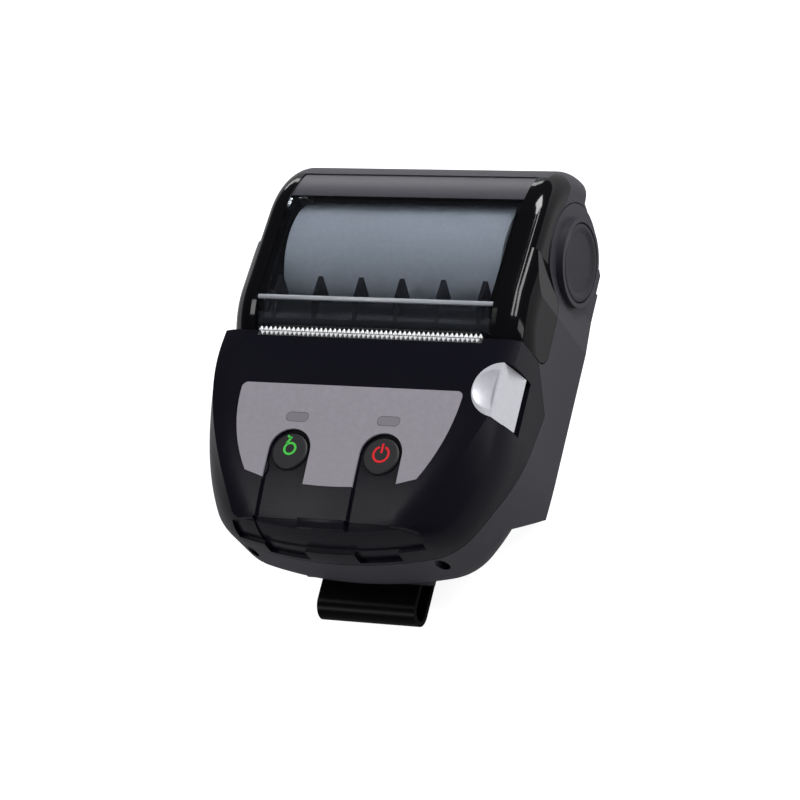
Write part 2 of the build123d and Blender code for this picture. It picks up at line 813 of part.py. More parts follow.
def cover_frame(shell, back):
    """Glossy black frame of the cover with its hinge cheeks."""
    frame = shell - window_opening() - back
    cheek = side_poly([(hinge_y - 6.0, hinge_height), (hinge_y + 6.0, hinge_height), on_circle(20.4, 55),
                       on_circle(20.6, 75), (hinge_y, 41.6), (24.7, 42.2)],
                      skirt_inner - cheek_gauge(), skirt_inner) & cover_core()
    cheek += rod(skirt_inner - cheek_gauge(), skirt_inner, hinge_y, hinge_height, 7.0)
    cheek -= rod(0, far, hinge_y, hinge_height, pin_radius + running_fit)
    for piece in both_sides(cheek):
        frame += piece
    return frame


def cover_core():
    """Cover at its waist, one rear panel's gauge smaller."""
    return cover_form(back_gauge, waist_half - back_gauge, waist_shoulder_radius - back_gauge)


def cover_back(shell):
    """Matt rear panel laid into the outside of the cover."""
    return (shell & back_region()) - cover_core()


def cover_window():
    """Smoked window: sloping lip, crease, flat top and barrel."""
    plate = side_slab(window_region(window_inset), -window_half, window_half)
    plate -= side_slab(window_region(window_inset + window_thickness), -far, far)
    reach = side_poly([(hinge_y, hinge_height), on_circle(80, back_panel_angle + 0.2), (lip_y, 80),
                       (lip_y, hinge_height)], -far, far)
    return plate & reach


def platen_holder():
    """Moulded beam under the window's lip: shell over the platen, ends for its bushes, six ribs."""
    axis = (platen_y, platen_z)

    def round_axis(radius, angle):
        return (axis[0] + radius * cos(radians(angle)), axis[1] + radius * sin(radians(angle)))

    inner, outer = platen_radius + 0.5, platen_radius + 1.7
    sector = (
        ThreePointArc(round_axis(outer, 25), round_axis(outer, 70), round_axis(outer, 122))
        + Line(round_axis(outer, 122), round_axis(inner, 122))
        + ThreePointArc(round_axis(inner, 122), round_axis(inner, 70), round_axis(inner, 25))
        + Line(round_axis(inner, 25), round_axis(outer, 25))
    )
    end = window_half - window_ledge
    beam = side_slab(sector, -end, end)
    top = side_poly([(5.4, 39.6), (5.4, 41), (11, 43.5), (17.5, 43.1), (13.4, 35.0)], 0, 1.2)
    rib = top & side_slab(window_region(window_inset + window_thickness + seat_gap), -far, far)
    rib -= rod(-far, far, platen_y, platen_z, (inner + outer) / 2)
    spacing = 10.9
    for i in range(6):
        beam += Pos(spacing * (i - 2.5) - 0.6, 0, 0) * rib
    plate = side_poly([(5.6, 32.5), (5.4, 39.8), (11, 42.7), (13.5, 42.4), (14.6, 38.5), (12.5, 32.5)],
                      bush_inner, bush_outer)
    plate = plate & side_slab(window_region(window_inset + window_thickness + seat_gap), -far, far)
    plate = plate & side_slab(cover_profile(cover_skin + seat_gap), -far, far)
    for piece in both_sides(plate):
        beam += piece
    beam = beam & side_slab(window_region(window_inset + window_thickness + seat_gap), -far, far)
    return beam - rod(-far, far, platen_y, platen_z, bush_radius)


def platen_bushes():
    ring = rod(bush_inner, bush_outer, platen_y, platen_z, bush_radius)
    return both_sides(ring - rod(0, far, platen_y, platen_z, shaft_radius + running_fit))


def gear_outline(teeth, turn):
    """Outline of a gear with straight-flanked teeth, first tooth at angle turn in degrees."""
    pitch_radius = gear_module * teeth / 2
    tip, root = pitch_radius + 0.85 * gear_module, pitch_radius - 1.15 * gear_module
    half_pitch = pi * gear_module / 4 - gear_backlash / 2
    flank = tan(radians(22))
    points = []
    for i in range(teeth):
        middle = radians(turn + 360 * i / teeth)
        for radius, side in ((root, -1), (tip, -1), (tip, 1), (root, 1)):
            half = (half_pitch - (radius - pitch_radius) * flank) / radius
            points.append((radius * cos(middle + side * half), radius * sin(middle + side * half)))
    return Polyline(*points, close=True)


def gear(teeth, y, z, turn, x0, x1, bore):
    face = make_face(Plane.YZ.offset(x0) * gear_outline(teeth, turn))
    disc = extrude(face, amount=x1 - x0, dir=(1, 0, 0))
    return Pos(0, y, z) * disc - rod(x0 - 1, x1 + 1, y, z, bore)


def gear_train():
    """Centres of the idler and the pinion, and the angle of each gear's first tooth."""
    mesh = gear_module / 2
    lift = atan2(platen_z - hinge_height, platen_y - hinge_y) - pi / 2
    toward_idler = lift + pi
    reach = mesh * (platen_teeth + idler_teeth) + 0.03
    idler_y = platen_y + reach * cos(toward_idler)
    idler_z = platen_z + reach * sin(toward_idler)
    span = mesh * (idler_teeth + pinion_teeth) + 0.03
    drop = motor_z - idler_z
    motor_y = idler_y - sqrt(span**2 - drop**2)
    toward_motor = atan2(drop, motor_y - idler_y)
    platen_turn = degrees(toward_idler)
    idler_turn = degrees(toward_idler + pi) + 180 / idler_teeth
    steps = (degrees(toward_motor) - idler_turn) / (360 / idler_teeth)
    part = steps - int(steps)
    pinion_turn = degrees(toward_motor + pi) + (0.5 + part) * 360 / pinion_teeth
    return (idler_y, idler_z), (motor_y, motor_z), (platen_turn, idler_turn, pinion_turn)


idler_centre, motor_centre, gear_turns = gear_train()
gear_right = gear_left + gear_width


def mechanism_frame():
    """Folded steel frame: two side plates with notches for the platen bushes, one floor."""
    top = 37.0
    outline = [(-10.9, 13.7), (12, 13.7), (14, 24), (14.5, 33), (12.5, top), (5.4, top), (-0.6, 29.9),
               (-10.9, 29.9)]
    left = side_poly(outline, -frame_outer, -frame_outer + frame_gauge)
    lift = degrees(atan2(platen_z - hinge_height, platen_y - hinge_y)) - 90
    notch = Pos(0, platen_y, platen_z) * Rot(lift, 0, 0) * Box(
        4 * frame_outer, 20, 2 * (shaft_radius + 0.5), align=(Align.CENTER, Align.MIN, Align.CENTER))
    notch += rod(-far, far, platen_y, platen_z, shaft_radius + 0.5)
    right = mirror(left, about=Plane.YZ)
    left -= rod(-far, 0, *motor_centre, 2.0)
    floor = block(-frame_outer, frame_outer, -10.9, 8.6, 13.7, 13.7 + frame_gauge)
    frame = left + right + floor - notch
    axle = rod(gear_left - 0.4, -frame_outer, *idler_centre, 1.2)
    return frame + axle


def motor():
    x0 = -frame_outer + frame_gauge + seat_gap
    can = rod(x0, x0 + motor_length, *motor_centre, motor_radius)
    return can - rod(x0 - 1, x0 + 3, *motor_centre, 1.1)


def motor_pinion():
    """Pinion with the motor's shaft."""
    wheel = gear(pinion_teeth, *motor_centre, gear_turns[2], gear_left, gear_right, 0.5)
    shaft = rod(gear_left - 0.2, -frame_outer + frame_gauge + 2.5, *motor_centre, 0.75)
    return wheel + shaft


def print_head():
    """Thermal head: ceramic face against the platen on an aluminium plate."""
    face_y = platen_y - platen_radius - head_gap
    middle = platen_z + 0.2
    plate = block(-head_half, head_half, face_y - head_thickness, face_y, middle - head_height / 2,
                  middle + head_height / 2)
    back = block(-head_half + 2, head_half - 2, face_y - head_thickness - 1.0, face_y - head_thickness,
                 middle - head_height / 2, middle - 1)
    return plate + back


def head_bracket():
    """Steel angle that carries the head springs, across the mechanism frame."""
    x = frame_outer - frame_gauge - seat_gap
    face_y = platen_y - platen_radius - head_gap - head_thickness - 1.0
    upright = block(-x, x, face_y - 3.8, face_y - 3.0, 30.2, 38.6)
    foot = block(-x, x, face_y - 3.8, face_y + 2.6, 30.0, 30.8)
    return upright + foot


def head_springs():
    """Springs that press the head on the platen, drawn as sleeves."""
    face_y = platen_y - platen_radius - head_gap - head_thickness - 1.0
    out = []
    for x in (-16.0, 0.0, 16.0):
        sleeve = Cylinder(1.6, 2.9) - Cylinder(1.1, 4)
        out.append(Pos(x, face_y - 1.5, 33.4) * Rot(90, 0, 0) * sleeve)
    return out


def platen_shaft():
    return rod(gear_left - 0.2, bush_outer + 1.6, platen_y, platen_z, shaft_radius)


def platen_roller():
    tube = rod(-platen_half, platen_half, platen_y, platen_z, platen_radius)
    return tube - rod(-far, far, platen_y, platen_z, shaft_radius)


def platen_gear():
    return gear(platen_teeth, platen_y, platen_z, gear_turns[0], gear_left, gear_right, shaft_radius)


def idler_gear():
    return gear(idler_teeth, *idler_centre, gear_turns[1], gear_left, gear_right, 1.2 + running_fit)


def paper_bucket():
    """Trough that the roll drops into, with end cheeks and ribs under it."""
    inner = roll_radius + bucket_gap
    outer = inner + bucket_wall
    half = roll_half + bucket_side_gap + bucket_wall

    def point(radius, angle):
        return (roll_y + radius * cos(radians(angle)), roll_z + radius * sin(radians(angle)))

    a0, a1 = 170, 372
    trough = (
        ThreePointArc(point(outer, a0), point(outer, 270), point(outer, a1))
        + Line(point(outer, a1), point(inner, a1))
        + ThreePointArc(point(inner, a1), point(inner, 270), point(inner, a0))
        + Line(point(inner, a0), point(outer, a0))
    )
    tray = side_slab(trough, -half, half)
    disc = (
        ThreePointArc(point(outer, a0), point(outer, 270), point(outer, a1))
        + Line(point(outer, a1), point(outer, a0))
    )
    cheek = side_slab(disc, half - bucket_wall, half)
    for piece in both_sides(cheek):
        tray += piece
    rib = side_poly([(16, wall + seat_gap), (38, wall + seat_gap), (38, 12), (16, 12)], 0, 1.2)
    rib -= rod(-far, far, roll_y, roll_z, inner + 0.5)
    for x in (-22, -0.6, 20.8):
        tray += Pos(x, 0, 0) * rib
    return tray


def paper_roll():
    tube = rod(-roll_half, roll_half, roll_y, roll_z, roll_radius)
    return tube - rod(-far, far, roll_y, roll_z, core_radius)


def roll_core():
    tube = rod(-roll_half, roll_half, roll_y, roll_z, core_radius)
    return tube - rod(-far, far, roll_y, roll_z, core_bore)


def battery_pack():
    body = block(-battery_half, battery_half, battery_front_y, battery_rear_y, battery_floor,
                 battery_floor + battery_height)
    return fillet(body.edges().filter_by(Axis.X), 2.0)


def battery_contacts():
    """Four spring contacts behind the battery on their block."""
    y0 = battery_rear_y + 1.5
    body = block(-9, 9, y0, y0 + 2.4, wall + seat_gap, 10.5)
    return body


def battery_door():
    """Battery door in the base, round at its rear edge where it hinges, with grip grooves."""
    radius = door_thickness / 2
    plate = block(-door_half, door_half, door_front_y, door_rear_y - radius, 0, door_thickness)
    plate += rod(-door_half, door_half, door_rear_y - radius, radius, radius)
    for i in range(4):
        y = door_front_y + 3 + 1.6 * i
        plate -= block(-6, 6, y, y + 0.8, -1, 0.5)
    return plate


def belt_clip():
    """Steel strip folded back on itself under the nose."""
    top = nose_floor - clip_pad_rise - seat_gap
    bottom = top - clip_depth
    radius = clip_depth / 2
    bend_y = -rear_y + radius
    mid = (top + bottom) / 2
    g = clip_gauge
    strip = (
        Line((clip_rear_y - 2, top), (bend_y, top))
        + ThreePointArc((bend_y, top), (bend_y - radius, mid), (bend_y, bottom))
        + Polyline((bend_y, bottom), (clip_rear_y - 4.5, bottom), (clip_rear_y - 1, bottom - 1.2),
                   (clip_rear_y, bottom - 0.6), (clip_rear_y - 4.2, bottom + g), (bend_y, bottom + g))
        + ThreePointArc((bend_y, bottom + g), (bend_y - radius + g, mid), (bend_y, top - g))
        + Polyline((bend_y, top - g), (clip_rear_y - 2, top - g), (clip_rear_y - 2, top))
    )
    clip = side_slab(strip, -clip_half, clip_half)
    for x in (-clip_screw_x, clip_screw_x):
        clip -= post(x, clip_screw_y, 0, 20, screw_radius + seat_gap)
    return clip


def clip_screws():
    top = nose_floor - clip_pad_rise - seat_gap - clip_gauge
    out = []
    for x in (-clip_screw_x, clip_screw_x):
        head = post(x, clip_screw_y, top - 0.7, top, screw_head_radius)
        out.append(head + post(x, clip_screw_y, top, top + 4.5, screw_radius))
    return out


def hinge_caps():
    """Round dished caps over the hinge pins."""
    disc = rod(half_width - cap_thickness, half_width, hinge_y, hinge_height, cap_radius)
    rim = disc.edges().filter_by(GeomType.CIRCLE).sort_by(Axis.X)[-1]
    disc = chamfer(rim, 0.4)
    bowl = Pos(half_width, hinge_y, hinge_height) * Rot(0, -90, 0) * Cone(
        cap_radius - 1.2, cap_radius - 2.4, cap_dish, align=(Align.CENTER, Align.CENTER, Align.MIN))
    return both_sides(disc - bowl)


def hinge_pins():
    pin = rod(skirt_inner - cheek_gauge() - 0.2, half_width - cap_thickness - seat_gap,
              hinge_y, hinge_height, pin_radius)
    return both_sides(pin)


def port_opening(grow):
    """Opening in the left wall for the rubber flap, with room for its knuckle."""
    return block(-half_width - 1, -half_width + wall + 0.6, port_front_y - grow, port_rear_y + grow,
                 port_floor - grow, port_floor + port_height + grow)


def port_flap():
    """Rubber flap over the ports, turning on an upright knuckle at its rear edge."""
    x = -half_width + flap_inset + flap_thickness / 2
    radius = flap_thickness / 2
    knuckle_y = port_rear_y - radius
    plate = block(x - radius, x + radius, port_front_y, knuckle_y, port_floor, port_floor + port_height)
    return plate + post(x, knuckle_y, port_floor, port_floor + port_height, radius)


def ports():
    """Charging jack and data socket on their small board."""
    x0 = -half_width + wall + 0.8
    base = port_floor - 0.2
    board = block(x0, x0 + 9, port_front_y + 0.5, port_rear_y - 0.5, base - 0.8, base)
    jack = block(x0, x0 + 8, -16.2, -11.0, base, base + 7.2)
    jack -= rod(x0 - 1, x0 + 6, -13.6, base + 3.8, 1.8)
    socket = block(x0, x0 + 7, -9.8, -2.3, base, base + 3.6)
    socket -= block(x0 - 1, x0 + 5, -9.1, -3.0, base + 0.6, base + 3.0)
    return [board, jack, socket]


def paper_sensor():
    """Small reflective sensor on the frame floor that looks at the paper."""
    return block(-3, 3, 5.6, 8.4, 13.7 + frame_gauge, 19.0)


shell = cover_shell()
back = cover_back(shell)
port_board, charge_jack, data_socket = ports()
case_screw_set = []
for sx, sy, sz in case_screws:
    case_screw_set += both_sides(screw(sx, sy, sz, 26.5 - sz))

nodes = {
    "lower_case": lower_case(),
    "upper_case": upper_case(),
    "panel_overlay": panel_overlay(),
    "status_lenses": status_lenses(),
    "feed_key": key(-button_x),
    "power_key": key(button_x),
    "tact_switches": tact_switches(),
    "main_board": main_board(),
    "board_screws": board_posts(),
    "release_lever": release_lever(),
    "lever_spring": lever_spring(),
    "tear_bar": tear_bar(),
    "cover_frame": cover_frame(shell, back),
    "cover_back": back,
    "cover_window": cover_window(),
    "platen_holder": platen_holder(),
    "platen_bushes": platen_bushes(),
    "platen_shaft": platen_shaft(),
    "platen_roller": platen_roller(),
    "platen_gear": platen_gear(),
    "idler_gear": idler_gear(),
    "motor": motor(),
    "motor_pinion": motor_pinion(),
    "mechanism_frame": mechanism_frame(),
    "print_head": print_head(),
    "head_bracket": head_bracket(),
    "head_springs": head_springs(),
    "paper_bucket": paper_bucket(),
    "paper_sensor": paper_sensor(),
    "paper_roll": paper_roll(),
    "roll_core": roll_core(),
    "battery_pack": battery_pack(),
    "battery_contacts": battery_contacts(),
    "battery_door": battery_door(),
    "belt_clip": belt_clip(),
    "clip_screws": clip_screws(),
    "hinge_caps": hinge_caps(),
    "hinge_pins": hinge_pins(),
    "case_screws": case_screw_set,
    "port_flap": port_flap(),
    "port_board": port_board,
    "charge_jack": charge_jack,
    "data_socket": data_socket,
}

os.makedirs("parts", exist_ok=True)
for name, piece in nodes.items():
    solids = piece if isinstance(piece, list) else [piece]
    export_step(Compound(children=[s for item in solids for s in item.solids()]), f"parts/{name}.step")
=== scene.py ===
import math

import bpy
from mathutils import Matrix, Vector


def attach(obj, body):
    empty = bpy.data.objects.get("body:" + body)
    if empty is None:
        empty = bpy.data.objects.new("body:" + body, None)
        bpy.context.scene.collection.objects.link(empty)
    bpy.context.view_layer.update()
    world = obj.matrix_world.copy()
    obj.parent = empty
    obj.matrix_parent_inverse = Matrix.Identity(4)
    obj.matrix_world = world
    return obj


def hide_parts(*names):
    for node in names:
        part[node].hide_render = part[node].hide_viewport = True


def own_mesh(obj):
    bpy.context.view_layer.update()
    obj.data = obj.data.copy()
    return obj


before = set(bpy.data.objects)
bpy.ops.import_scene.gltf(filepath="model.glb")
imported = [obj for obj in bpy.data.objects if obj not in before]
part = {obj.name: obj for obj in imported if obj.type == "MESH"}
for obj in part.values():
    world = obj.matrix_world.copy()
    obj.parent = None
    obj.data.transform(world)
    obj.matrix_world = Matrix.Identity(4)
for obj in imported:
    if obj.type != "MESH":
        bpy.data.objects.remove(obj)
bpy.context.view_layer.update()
bpy.ops.object.select_all(action="DESELECT")

# The photograph's view, from above the front right corner through a long lens. The three
# directions are the picture's right, its up, and the way back to the camera.
bpy.ops.object.camera_add()
camera = bpy.context.object
camera.name = "photo_camera"
picture_right = Vector((0.8953, 0.2298, -0.3817))
picture_up = Vector((-0.0424, 0.8968, 0.4404))
towards_camera = Vector((0.4435, -0.3780, 0.8126))
turn = Matrix((picture_right, picture_up, towards_camera)).transposed().to_4x4()
camera.matrix_world = Matrix.Translation((0.37883, -0.32629, 0.71339)) @ turn
camera.data.lens = 159.2
camera.data.sensor_width = 36
camera.data.clip_start = 0.05
bpy.context.scene.camera = camera
bpy.context.scene.view_settings.view_transform = "Standard"

# The studio's surround: white where the camera looks past the printer, and a dim grey room in
# every reflection, so that the black mouldings stay black.
world = bpy.data.worlds.new("studio")
bpy.context.scene.world = world
world.use_nodes = True
room = world.node_tree
room.nodes.clear()
room_out = room.nodes.new("ShaderNodeOutputWorld")
room_path = room.nodes.new("ShaderNodeLightPath")
room_seen = room.nodes.new("ShaderNodeBackground")
room_seen.inputs["Color"].default_value = (1, 1, 1, 1)
room_lit = room.nodes.new("ShaderNodeBackground")
room_lit.inputs["Color"].default_value = (0.3, 0.31, 0.34, 1)
room_mirror = room.nodes.new("ShaderNodeBackground")
room_mirror.inputs["Color"].default_value = (0.07, 0.072, 0.085, 1)
mix_mirror = room.nodes.new("ShaderNodeMixShader")
mix_seen = room.nodes.new("ShaderNodeMixShader")
room.links.new(room_path.outputs["Is Glossy Ray"], mix_mirror.inputs["Fac"])
room.links.new(room_lit.outputs["Background"], mix_mirror.inputs[1])
room.links.new(room_mirror.outputs["Background"], mix_mirror.inputs[2])
room.links.new(room_path.outputs["Is Camera Ray"], mix_seen.inputs["Fac"])
room.links.new(mix_mirror.outputs["Shader"], mix_seen.inputs[1])
room.links.new(room_seen.outputs["Background"], mix_seen.inputs[2])
room.links.new(mix_seen.outputs["Shader"], room_out.inputs["Surface"])

# The floor is one large sheet of pale paper. The camera sees it brighter than it is lit, so
# that it runs out to white and still keeps the printer's soft shadow.
bpy.ops.mesh.primitive_plane_add(size=1.6, location=(0, 0, -0.0002))
floor = bpy.context.object
floor.name = "paper_floor"
floor_paper = bpy.data.materials.new("floor_paper")
floor_paper.use_nodes = True
sheet = floor_paper.node_tree
sheet_shader = sheet.nodes["Principled BSDF"]
sheet_shader.inputs["Base Color"].default_value = (0.5, 0.5, 0.5, 1)
sheet_shader.inputs["Roughness"].default_value = 0.9
sheet_shader.inputs["Specular IOR Level"].default_value = 0.1
sheet_glow = sheet.nodes.new("ShaderNodeEmission")
sheet_glow.inputs["Strength"].default_value = 0.88
sheet_add = sheet.nodes.new("ShaderNodeAddShader")
sheet_path = sheet.nodes.new("ShaderNodeLightPath")
sheet_mix = sheet.nodes.new("ShaderNodeMixShader")
sheet.links.new(sheet_shader.outputs["BSDF"], sheet_add.inputs[0])
sheet.links.new(sheet_glow.outputs["Emission"], sheet_add.inputs[1])
sheet.links.new(sheet_path.outputs["Is Camera Ray"], sheet_mix.inputs["Fac"])
sheet.links.new(sheet_shader.outputs["BSDF"], sheet_mix.inputs[1])
sheet.links.new(sheet_add.outputs["Shader"], sheet_mix.inputs[2])
sheet.links.new(sheet_mix.outputs["Shader"], sheet.nodes["Material Output"].inputs["Surface"])
floor.data.materials.append(floor_paper)


# Six soft boxes light the printer. The large key box stands at the rear right, a strip behind
# lights the barrel, a strip in front draws the window's crease, and a tall one the side rail.
# Two hang higher: one over the tongues by the keys, and a long thin one for the right rail.
def soft_box(name, place, aim, wide, tall, watts):
    bpy.ops.object.light_add(type="AREA", location=place)
    lamp = bpy.context.object
    lamp.name = name
    lamp.data.shape = "RECTANGLE"
    lamp.data.size = wide
    lamp.data.size_y = tall
    lamp.data.energy = watts
    away = Vector(place) - Vector(aim)
    lamp.rotation_euler = away.to_track_quat("Z", "Y").to_euler()


soft_box("key_box", (0.44, 0.72, 0.52), aim=(0, 0, 0.02), wide=0.36, tall=0.3, watts=9.5)
soft_box("rear_strip", (-0.42, 0.85, 0.06), aim=(0, 0.03, 0.03), wide=0.6, tall=0.12, watts=1.2)
soft_box("front_strip", (-0.4, -0.68, 0.48), aim=(0, 0, 0.03), wide=0.5, tall=0.07, watts=2.2)
soft_box("side_box", (0.78, 0.02, 0.2), aim=(0.03, 0, 0.02), wide=0.12, tall=0.3, watts=0.5)
soft_box("tongue_strip", (-0.42, -0.01, 0.84), aim=(0, -0.04, 0.04),
         wide=0.28, tall=0.12, watts=0.9)
soft_box("shoulder_strip", (0.64, 0.38, 0.48), aim=(0.03, 0.38, 0.04),
         wide=0.6, tall=0.05, watts=1.6)


# The lower tub is one matt charcoal moulding with a fine spark-eroded grain. The rear panel of
# the cover, the round hinge caps and the battery door are moulded in the same plastic; the caps
# are dressed in a darker copy of it, painted shade on the round side discs.
def moulded_plastic(name, colour, roughness, grain, depth, coat=0.0, specular=0.5):
    clouds_per_metre = 70
    mottle = 0.12
    smoothest = 0.02
    pit_depth = 0.00004
    paint = bpy.data.materials.new(name)
    paint.use_nodes = True
    tree = paint.node_tree
    shader = tree.nodes["Principled BSDF"]
    place = tree.nodes.new("ShaderNodeTexCoord")
    pits = tree.nodes.new("ShaderNodeTexNoise")
    pits.inputs["Scale"].default_value = 1 / grain
    pits.inputs["Detail"].default_value = 3
    pits.inputs["Roughness"].default_value = 0.6
    cloud = tree.nodes.new("ShaderNodeTexNoise")
    cloud.inputs["Scale"].default_value = clouds_per_metre
    cloud.inputs["Detail"].default_value = 5
    tone = tree.nodes.new("ShaderNodeMix")
    tone.data_type = "RGBA"
    tone.inputs["A"].default_value = (*[c * (1 - mottle) for c in colour], 1)
    tone.inputs["B"].default_value = (*[c * (1 + mottle) for c in colour], 1)
    rough = tree.nodes.new("ShaderNodeMapRange")
    rough.inputs["To Min"].default_value = max(smoothest, roughness - 0.05)
    rough.inputs["To Max"].default_value = roughness + 0.06
    bump = tree.nodes.new("ShaderNodeBump")
    bump.inputs["Strength"].default_value = depth
    bump.inputs["Distance"].default_value = pit_depth
    tree.links.new(place.outputs["Object"], pits.inputs["Vector"])
    tree.links.new(place.outputs["Object"], cloud.inputs["Vector"])
    tree.links.new(cloud.outputs["Fac"], tone.inputs["Factor"])
    tree.links.new(cloud.outputs["Fac"], rough.inputs["Value"])
    tree.links.new(tone.outputs["Result"], shader.inputs["Base Color"])
    tree.links.new(rough.outputs["Result"], shader.inputs["Roughness"])
    tree.links.new(pits.outputs["Fac"], bump.inputs["Height"])
    tree.links.new(bump.outputs["Normal"], shader.inputs["Normal"])
    shader.inputs["Coat Weight"].default_value = coat
    shader.inputs["Coat Roughness"].default_value = 0.08
    shader.inputs["Specular IOR Level"].default_value = specular
    return paint


def dress(paint, *nodes):
    for node in nodes:
        part[node].data.materials.clear()
        part[node].data.materials.append(paint)


matt_charcoal = moulded_plastic("matt_charcoal_moulding", (0.026, 0.025, 0.032), roughness=0.5,
                                grain=0.00035, depth=0.5, specular=0.4)
dress(matt_charcoal, "lower_case", "cover_back", "battery_door")
# The hinge caps' darker charcoal is painted shade on the round side discs.
cap_charcoal_painted_shade = moulded_plastic("cap_moulding_painted_shade", (0.016, 0.016, 0.02), roughness=0.48, grain=0.0004,
                               depth=0.4, specular=0.3)
dress(cap_charcoal_painted_shade, "hinge_caps")

# The battery pack slides up into the base behind its door: a hard black case with a slight
# sheen, over the moulded block that holds the spring contacts.
battery_black = moulded_plastic("battery_case", (0.03, 0.03, 0.033), roughness=0.4, grain=0.0005,
                                depth=0.35)
dress(battery_black, "battery_pack")
black_moulding = moulded_plastic("black_moulding", (0.009, 0.009, 0.011), roughness=0.42,
                                 grain=0.0004, depth=0.4)
dress(black_moulding, "battery_contacts")


# The mechanism frame is folded from dark plated sheet steel. It carries the motor, the bracket
# behind the print head, and the notches that the roller's bushes drop into.
def worked_metal(name, colour, roughness, grain_along, metal=1.0, contrast=0.15):
    lines_per_metre = 900
    line_depth = 0.00002
    paint = bpy.data.materials.new(name)
    paint.use_nodes = True
    tree = paint.node_tree
    shader = tree.nodes["Principled BSDF"]
    place = tree.nodes.new("ShaderNodeTexCoord")
    stretch = tree.nodes.new("ShaderNodeMapping")
    stretch.inputs["Scale"].default_value = grain_along
    lines = tree.nodes.new("ShaderNodeTexNoise")
    lines.inputs["Scale"].default_value = lines_per_metre
    lines.inputs["Detail"].default_value = 5
    rough = tree.nodes.new("ShaderNodeMapRange")
    rough.inputs["To Min"].default_value = roughness - 0.08
    rough.inputs["To Max"].default_value = roughness + 0.12
    tone = tree.nodes.new("ShaderNodeMix")
    tone.data_type = "RGBA"
    tone.inputs["A"].default_value = (*[c * (1 - contrast) for c in colour], 1)
    tone.inputs["B"].default_value = (*[min(1, c * (1 + contrast)) for c in colour], 1)
    bump = tree.nodes.new("ShaderNodeBump")
    bump.inputs["Strength"].default_value = 0.25
    bump.inputs["Distance"].default_value = line_depth
    tree.links.new(place.outputs["Object"], stretch.inputs["Vector"])
    tree.links.new(stretch.outputs["Vector"], lines.inputs["Vector"])
    tree.links.new(lines.outputs["Fac"], rough.inputs["Value"])
    tree.links.new(lines.outputs["Fac"], tone.inputs["Factor"])
    tree.links.new(lines.outputs["Fac"], bump.inputs["Height"])
    tree.links.new(tone.outputs["Result"], shader.inputs["Base Color"])
    tree.links.new(rough.outputs["Result"], shader.inputs["Roughness"])
    tree.links.new(bump.outputs["Normal"], shader.inputs["Normal"])
    shader.inputs["Metallic"].default_value = metal
    return paint


plated_steel = worked_metal("plated_steel", (0.25, 0.25, 0.26), roughness=0.4,
                            grain_along=(0.3, 1, 1))
bright_steel = worked_metal("bright_steel", (0.62, 0.62, 0.61), roughness=0.28,
                            grain_along=(0.1, 1, 1))
head_alloy = worked_metal("head_alloy", (0.7, 0.7, 0.69), roughness=0.38, grain_along=(0.1, 1, 1))
dress(plated_steel, "mechanism_frame")
dress(bright_steel, "motor", "motor_pinion", "head_bracket", "head_springs")
dress(head_alloy, "print_head")

# The gears are moulded in natural white nylon and turn on steel studs, and the bushes at the
# roller's ends are cut from the same stuff.
natural_nylon = moulded_plastic("natural_nylon", (0.78, 0.76, 0.7), roughness=0.38, grain=0.0006,
                                depth=0.2)
dress(natural_nylon, "idler_gear", "platen_gear", "platen_bushes")

# The roller is ground black rubber bonded to a bright steel shaft, and the two sit in a black
# moulded beam that hangs under the front of the cover.
ground_rubber = moulded_plastic("ground_rubber", (0.02, 0.02, 0.02), roughness=0.62, grain=0.0003,
                                depth=0.5)
dress(ground_rubber, "platen_roller")
dress(bright_steel, "platen_shaft")
dress(black_moulding, "platen_holder")

# The circuit boards are green resin under a clear mask, held by small bright screws. The
# switches under the keys, the socket and the jack are soldered to them.
board_green = moulded_plastic("circuit_board", (0.02, 0.11, 0.05), roughness=0.35, grain=0.0008,
                              depth=0.2, coat=0.3)
dress(board_green, "main_board", "port_board")
dress(bright_steel, "board_screws", "data_socket")
dress(black_moulding, "tact_switches", "charge_jack", "paper_sensor")

# The paper trough is a thin black moulding. A flap of soft black rubber plugs the opening over
# the socket and the jack.
dress(black_moulding, "paper_bucket")
soft_rubber = moulded_plastic("soft_rubber", (0.013, 0.013, 0.014), roughness=0.6, grain=0.0004,
                              depth=0.4)
dress(soft_rubber, "port_flap")

# The roll is smooth white thermal paper wound on a grey plastic core. Its ends show the turns
# as very fine rings round the core.
roll_axis_y, roll_axis_z = 0.0286, 0.0246
rings_per_metre = 900
roll_paper = bpy.data.materials.new("wound_thermal_paper")
roll_paper.use_nodes = True
winding = roll_paper.node_tree
winding_shader = winding.nodes["Principled BSDF"]
winding_place = winding.nodes.new("ShaderNodeTexCoord")
winding_centre = winding.nodes.new("ShaderNodeMapping")
winding_centre.inputs["Location"].default_value = (0, -roll_axis_y, -roll_axis_z)
winding_rings = winding.nodes.new("ShaderNodeTexWave")
winding_rings.wave_type = "RINGS"
winding_rings.rings_direction = "X"
winding_rings.inputs["Scale"].default_value = rings_per_metre
winding_rings.inputs["Distortion"].default_value = 1.5
winding_rings.inputs["Detail"].default_value = 2
winding_tone = winding.nodes.new("ShaderNodeMix")
winding_tone.data_type = "RGBA"
winding_tone.inputs["A"].default_value = (0.72, 0.75, 0.77, 1)
winding_tone.inputs["B"].default_value = (0.86, 0.88, 0.89, 1)
winding_bump = winding.nodes.new("ShaderNodeBump")
winding_bump.inputs["Strength"].default_value = 0.2
winding_bump.inputs["Distance"].default_value = 0.00003
winding.links.new(winding_place.outputs["Object"], winding_centre.inputs["Vector"])
winding.links.new(winding_centre.outputs["Vector"], winding_rings.inputs["Vector"])
winding.links.new(winding_rings.outputs["Fac"], winding_tone.inputs["Factor"])
winding.links.new(winding_tone.outputs["Result"], winding_shader.inputs["Base Color"])
winding.links.new(winding_rings.outputs["Fac"], winding_bump.inputs["Height"])
winding.links.new(winding_bump.outputs["Normal"], winding_shader.inputs["Normal"])
winding_shader.inputs["Roughness"].default_value = 0.5
dress(roll_paper, "paper_roll")
